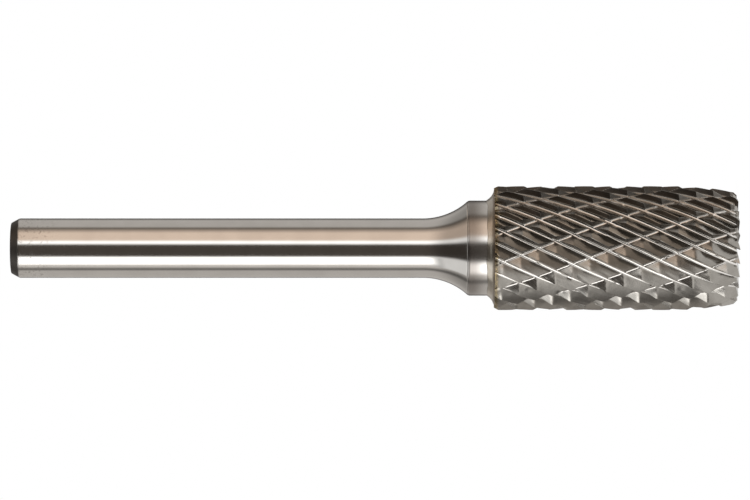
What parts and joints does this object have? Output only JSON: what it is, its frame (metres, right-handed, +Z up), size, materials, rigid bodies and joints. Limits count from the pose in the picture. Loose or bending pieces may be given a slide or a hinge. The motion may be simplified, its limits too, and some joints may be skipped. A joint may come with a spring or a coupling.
{
  "type": "carbide burr",
  "caption": "Cylindrical rotary cutting burr with a toothed front end and double-cut helical teeth, brazed to a plain round shank for a collet.",
  "frame": {"origin": "centre of the head's front end, in the plane of the end teeth's cutting edges", "axes": "+Z up the axis towards the free end of the shank; +X and +Y across it, with the first main tooth 2.8 degrees round from +X at the front end"},
  "size_m": [0.0124, 0.0124, 0.0732],
  "materials": {
    "steel": "ground and polished, fine scratches round the axis",
    "braze": "satin silver solder, dulled by heat",
    "carbide": "diamond-ground sintered carbide, dark and satin"
  },
  "bodies": {
    "root": {"shank": "steel", "braze_joint": "braze", "cutting_head": "carbide"}
  },
  "joints": []
}
